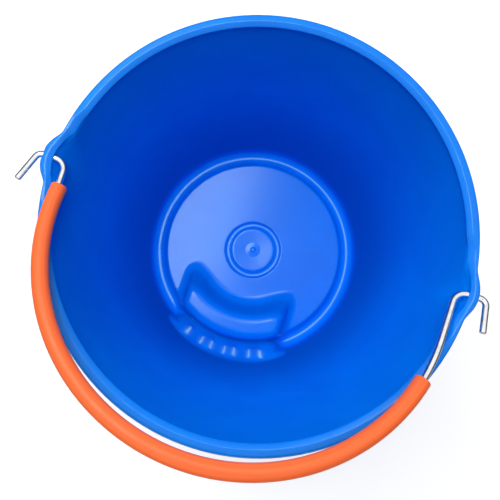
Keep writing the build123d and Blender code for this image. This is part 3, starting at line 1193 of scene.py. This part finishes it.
    def rim_rings(self, angles: np.ndarray) -> list[np.ndarray]:
        """Rings of the upper wall and the rim bead, which narrows and bulges out at the two ears.

        Args:
            angles: Angles of the rings' points.

        Returns:
            One array of points per ring.
        """
        outline = self.rim_outline()
        turn_over = int(np.argmax(outline[:, 0] > self.rim - 0.01))
        near_ear = 1 - ease(np.abs(self.mouth * np.cos(angles)), *self.worn_near)
        rings = []
        for row, (r, z) in enumerate(outline):
            flat, level = np.full_like(angles, r), np.full_like(angles, z)
            if row < turn_over:
                inner = self.ear_inside(angles, np.minimum(flat, self.lip_inner), z)
                outer = self.ear_outside(angles, np.full_like(angles, self.rim), z)
                across = max(r - self.lip_inner, 0.0) / (self.rim - self.lip_inner)
                hollow = np.clip((inner - self.mouth) / self.band_run, 0, 1)
                flat = inner + across * (outer - inner)
                # By the ears the inner edge is worn down, which keeps it clear of the sleeve's ends.
                climb = min(max(z - self.lip_root, 0.0) / self.worn_climb, 1.0)
                inside_crest = 1 - ease(across, self.shelf_share, self.crest_share)
                worn = climb * inside_crest * near_ear * (1 - hollow)
                past = ease(across, 0.0, self.shelf_share)
                flat = flat + (self.worn_depth + past) * worn
                level = level - (self.worn_depth - self.crest_wear * past) * worn
                level = level - self.band_drop(across, z) * hollow
            else:
                flat = self.ear_outside(angles, flat, z)
            rings.append(self.ring(angles, flat, level))
        return rings

    def foot_rings(self, angles: np.ndarray) -> list[np.ndarray]:
        """Rings of the outer wall's foot, the foot ring and the underside, with heel and finger pocket.

        Args:
            angles: Angles of the rings' points.

        Returns:
            One array of points per ring.
        """
        flare_start = math.radians(self.heel_half_angle - self.heel_flare_turn)
        past_start = np.maximum(np.abs(angles) - flare_start, 0.0) * self.base
        flare = self.heel_flare * past_start
        grooves = self.groove_depth * self.fingers(angles, np.full_like(angles, self.base))
        inner, wall = self.foot_inner, self.heel_wall * math.hypot(1, self.heel_draft)
        rings = []
        for r, z in self.foot_outline():
            flat, level = np.full_like(angles, r), np.full_like(angles, z)
            if r > inner:
                length = ease(level, *self.groove_start) * (1 - ease(level, *self.groove_end))
                heel = self.heel_foot + z * self.heel_draft + wall + flare - grooves * length
                edge, soft = self.outer_wall(z), self.heel_blend
                heel = edge + round_min(np.zeros_like(heel) + soft, heel - edge + soft, soft) - soft
                flat = inner + (r - inner) * (heel - inner) / (edge - inner)
            elif r < inner - self.finger_pocket_gap:
                level = self.under_height(r * np.sin(angles), -r * np.cos(angles), level)
            rings.append(self.ring(angles, flat, level))
        return rings

    @staticmethod
    def ring(angles: np.ndarray, r: Values, z: Values) -> np.ndarray:
        """Points of a ring, from angles that start at the back and pass the front at 0, radii and heights."""
        return np.stack([r * np.sin(angles), -r * np.cos(angles), z + np.zeros_like(angles)], axis=1)

    def build_skin(self) -> Skin:
        """Join all rings, from the middle of the floor over the rim to the middle of the underside.

        Returns:
            The closed skin.
        """
        even = self.columns((-180, 180, 3.75))
        front = self.columns((-180, -76, 3.25), (-76, -30, 0.8), (-30, 30, 0.4), (30, 76, 0.8),
                             (76, 180, 3.25))
        ears = self.columns((-180, -106, 2.5), (-106, -74, 0.5), (-74, 74, 2.5), (74, 106, 0.5),
                            (106, 180, 2.5))
        skin = Skin()
        gate = self.gate_outline()
        skin.tip(np.array([0.0, 0.0, gate[0, 1]]))
        for r, z in gate[1:]:
            skin.add(self.ring(even, r, z), even)
        # Rows stand closer where the inside curves most: at the hump, in the gutter and at the wall's foot.
        rows = [np.arange(self.gate_edge + 2, 45, 2.0), np.arange(45, 86, 1.0), np.arange(86, 93, 0.5),
                np.arange(93, 95.4, 0.6), np.arange(95.4, 98.2, 0.35), np.arange(98.2, 101.5, 0.8),
                np.arange(101.5, self.field_edge, 0.32)]
        for r in np.concatenate(rows):
            x, y = r * np.sin(front), -r * np.cos(front)
            skin.add(np.stack([x, y, self.inside_height(x, y)], axis=1), front)
        for z in np.linspace(self.wall_height(self.field_edge) + 6, self.ear_zone - 12, 12):
            skin.add(self.ring(ears, self.inner_wall(z), z), ears)
        for places in self.rim_rings(ears):
            skin.add(places, ears)
        for z in np.linspace(self.ear_zone - 12, self.low_zone + 8, 12):
            skin.add(self.ring(ears, self.outer_wall(z), z), ears)
        for places in self.foot_rings(front):
            skin.add(places, front)
        for r in np.arange(self.gate_edge - 6, 2, -6):
            skin.add(self.ring(even, r, self.floor_under), even)
        skin.tip(np.array([0.0, 0.0, self.floor_under]))
        return skin

    def drill(self, mesh: bpy.types.Mesh) -> bpy.types.Mesh:
        """Bore the two hinge holes through a mesh.

        Args:
            mesh: The closed skin.

        Returns:
            A new mesh with the holes.
        """
        shell = bpy.data.objects.new("undrilled", mesh)
        bpy.context.scene.collection.objects.link(shell)
        bpy.ops.mesh.primitive_cylinder_add(
            vertices=self.hole_sides, radius=self.hole * MM, depth=2 * (self.rim + self.drill_past_rim) * MM,
            location=(0, 0, self.hinge_z * MM), rotation=(0, math.pi / 2, 0))
        bit = bpy.context.object
        cut = shell.modifiers.new("hinge_holes", "BOOLEAN")
        cut.object, cut.operation, cut.solver = bit, "DIFFERENCE", "EXACT"
        bpy.context.view_layer.update()
        graph = bpy.context.evaluated_depsgraph_get()
        drilled = bpy.data.meshes.new_from_object(shell.evaluated_get(graph))
        bpy.data.objects.remove(bit)
        bpy.data.objects.remove(shell)
        return drilled

    def build(self) -> bpy.types.Object:
        """Build the shell with its hinge holes, dress it and let it stand for the plain solid.

        Returns:
            The piece.
        """
        mesh = self.drill(self.build_skin().mesh("bucket_shell"))
        places, facing = np.empty(3 * len(mesh.vertices)), np.empty(3 * len(mesh.vertices))
        mesh.vertices.foreach_get("co", places)
        mesh.vertex_normals.foreach_get("vector", facing)
        # The painted highlights and painted shade go only where the skin looks up: the inside, its tapered
        # wall too. The outside of the wall and the underside stay plain.
        inside = facing[2::3] > 0.05
        for name, amount in (("painted_highlight", self.painted_highlight_share), ("painted_shade", self.painted_shade_share)):
            layer = mesh.attributes.new(name, "FLOAT", "POINT")
            layer.data.foreach_set("value", amount(places.reshape(-1, 3) / MM) * inside)
        mesh.set_sharp_from_angle(angle=math.radians(self.crease))
        mesh.materials.clear()
        mesh.materials.append(MouldedRubber().material())
        return place_piece("bucket_shell", mesh, "pail", "bucket")


@dataclass(frozen=True)
class Lamp:
    """One soft square lamp: where it hangs, the point that it faces and its side in metres, and its watts."""

    name: str
    place: Triple
    aim: Triple
    side: float
    watts: float
    mirrored: bool = False

    def hang(self) -> None:
        """Hang the lamp. Shiny faces show it only if it is mirrored, and the camera never sees it."""
        data = bpy.data.lights.new(self.name, "AREA")
        data.energy = self.watts
        data.size = self.side
        lamp = bpy.data.objects.new(self.name, data)
        bpy.context.scene.collection.objects.link(lamp)
        place = Vector(self.place)
        turn = (Vector(self.aim) - place).to_track_quat("-Z", "Y").to_matrix().to_4x4()
        lamp.matrix_world = Matrix.Translation(place) @ turn
        lamp.visible_glossy = self.mirrored
        lamp.visible_camera = False


@dataclass
class Studio:
    """Camera, lamps and pale floor of the picture. Places in metres, angles in degrees."""

    azimuth: float = 14.03
    elevation: float = 78.86
    roll: float = 4.29
    eye: Triple = (0.004093, -0.060389, 0.845087)
    focal_px: float = 806.854
    image_px: float = 500.0
    shift_y: float = -0.2006
    sensor: float = 36.0
    floor_colour: str = "#c8c8c8"
    floor_glow: float = 0.59
    floor_mirror: float = 0.1
    floor_half: float = 0.6
    floor_level: float = -0.0003
    tent_colour: str = "#ffffff"
    air: float = 0.18
    tent: float = 1.0
    tent_top: float = 0.25
    tent_foot: float = 0.05
    top_edge: Span = (15.0, 7.0)
    foot_edge: Span = (0.2, 0.68)
    lamps: tuple[Lamp, ...] = (
        Lamp("key", (-0.5, 0.3, 1.9), (-0.5, 0.3, 0.0), side=0.85, watts=12.5, mirrored=True),
        Lamp("top", (0.05, 0.1, 2.2), (0.0, 0.0, 0.2), side=0.5, watts=15.5),
        Lamp("side", (-1.1, 1.1, 1.55), (0.0, 0.0, 0.2), side=0.9, watts=12.0))
    low_turns: tuple[int, ...] = (30, 150, 270)
    low_reach: float = 1.3
    low_level: float = 0.13
    low_side: float = 0.22
    low_watts: float = 5.0

    def camera(self) -> None:
        """Place the camera at the photograph's viewpoint."""
        data = bpy.data.cameras.new("camera")
        data.sensor_width = self.sensor
        data.sensor_fit = "HORIZONTAL"
        data.lens = self.focal_px / self.image_px * self.sensor
        data.shift_y = self.shift_y
        camera = bpy.data.objects.new("camera", data)
        bpy.context.scene.collection.objects.link(camera)
        az, el = math.radians(self.azimuth), math.radians(self.elevation)
        back = Vector((math.sin(az) * math.cos(el), -math.cos(az) * math.cos(el), math.sin(el)))
        turn = (-back).to_track_quat("-Z", "Y").to_matrix().to_4x4()
        roll = Matrix.Rotation(math.radians(self.roll), 4, "Z")
        camera.matrix_world = Matrix.Translation(self.eye) @ turn @ roll
        bpy.context.scene.camera = camera

    def floor(self) -> None:
        """Lay the pale floor, white to the camera and grey to shiny faces, with the object's shadow."""
        mesh = bpy.data.meshes.new("floor")
        half, level = self.floor_half, self.floor_level
        corners = [(-half, -half, level), (half, -half, level), (half, half, level), (-half, half, level)]
        mesh.from_pydata(corners, [], [(0, 1, 2, 3)])
        floor = bpy.data.objects.new("floor", mesh)
        bpy.context.scene.collection.objects.link(floor)
        material, add = new_material("pale_floor")
        card = add("BsdfDiffuse", {"Color": linear(self.floor_colour)})
        ray = add("LightPath").outputs
        white = add("Math", {0: ray["Is Camera Ray"], 1: self.floor_glow}, operation="MULTIPLY")
        grey = add("Math", {0: ray["Is Glossy Ray"], 1: self.floor_mirror}, operation="MULTIPLY")
        seen = add("Math", {0: white, 1: grey}, operation="MAXIMUM")
        glow = add("Emission", {"Strength": seen})
        both = add("AddShader", {0: card, 1: glow})
        add("OutputMaterial", {"Surface": both})
        mesh.materials.append(material)

    def world(self) -> None:
        """Hang a tent round the set: dim as light, white to the camera, a white band to shiny faces."""
        world = bpy.data.worlds.new("studio_tent")
        bpy.context.scene.world = world
        world.use_nodes = True
        world.node_tree.nodes.clear()
        add = partial(add_node, world.node_tree)
        way = add("TexCoord").outputs["Generated"]
        up = add("SeparateXYZ", {0: way}).outputs["Z"]
        start, end = (math.cos(math.radians(angle)) for angle in self.top_edge)
        roof = add("MapRange", {
            "Value": up, "From Min": start, "From Max": end, "To Min": self.tent, "To Max": self.tent_top,
        }, interpolation_type="SMOOTHSTEP")
        low, high = self.foot_edge
        walls = add("MapRange", {
            "Value": up, "From Min": low, "From Max": high, "To Min": self.tent_foot,
        }, interpolation_type="SMOOTHSTEP")
        band = add("Math", {0: roof, 1: walls}, operation="MULTIPLY")
        ray = add("LightPath").outputs
        shiny = add("Mix", {0: ray["Is Glossy Ray"], 2: self.air, 3: band})
        seen = add("Mix", {0: ray["Is Camera Ray"], 2: shiny, 3: 1.0})
        light = add("Background", {"Color": linear(self.tent_colour), "Strength": seen})
        add("OutputWorld", {"Surface": light})

    def build(self) -> None:
        """Set up the whole studio."""
        self.camera()
        self.floor()
        for lamp in self.lamps:
            lamp.hang()
        # Low lamps, under the level of the mouth, light the outside and don't reach the inside.
        for turn in self.low_turns:
            angle = math.radians(turn)
            place = (self.low_reach * math.cos(angle), self.low_reach * math.sin(angle), self.low_level)
            Lamp(f"low_{turn}", place, (0.0, 0.0, self.low_level), self.low_side, self.low_watts).hang()
        self.world()
        bpy.context.scene.view_settings.view_transform = "Standard"


def main() -> None:
    """Build and dress the bucket, bail and grip, then set up the picture."""
    logging.basicConfig(level=logging.INFO)
    for maker in (BucketShell(), BailWire(), GripSleeve()):
        piece = maker.build()
        log.info("%s: %d faces, %s", piece.name, len(piece.data.polygons), piece.data.materials[0].name)
    Studio().build()


if __name__ == "__main__":
    main()
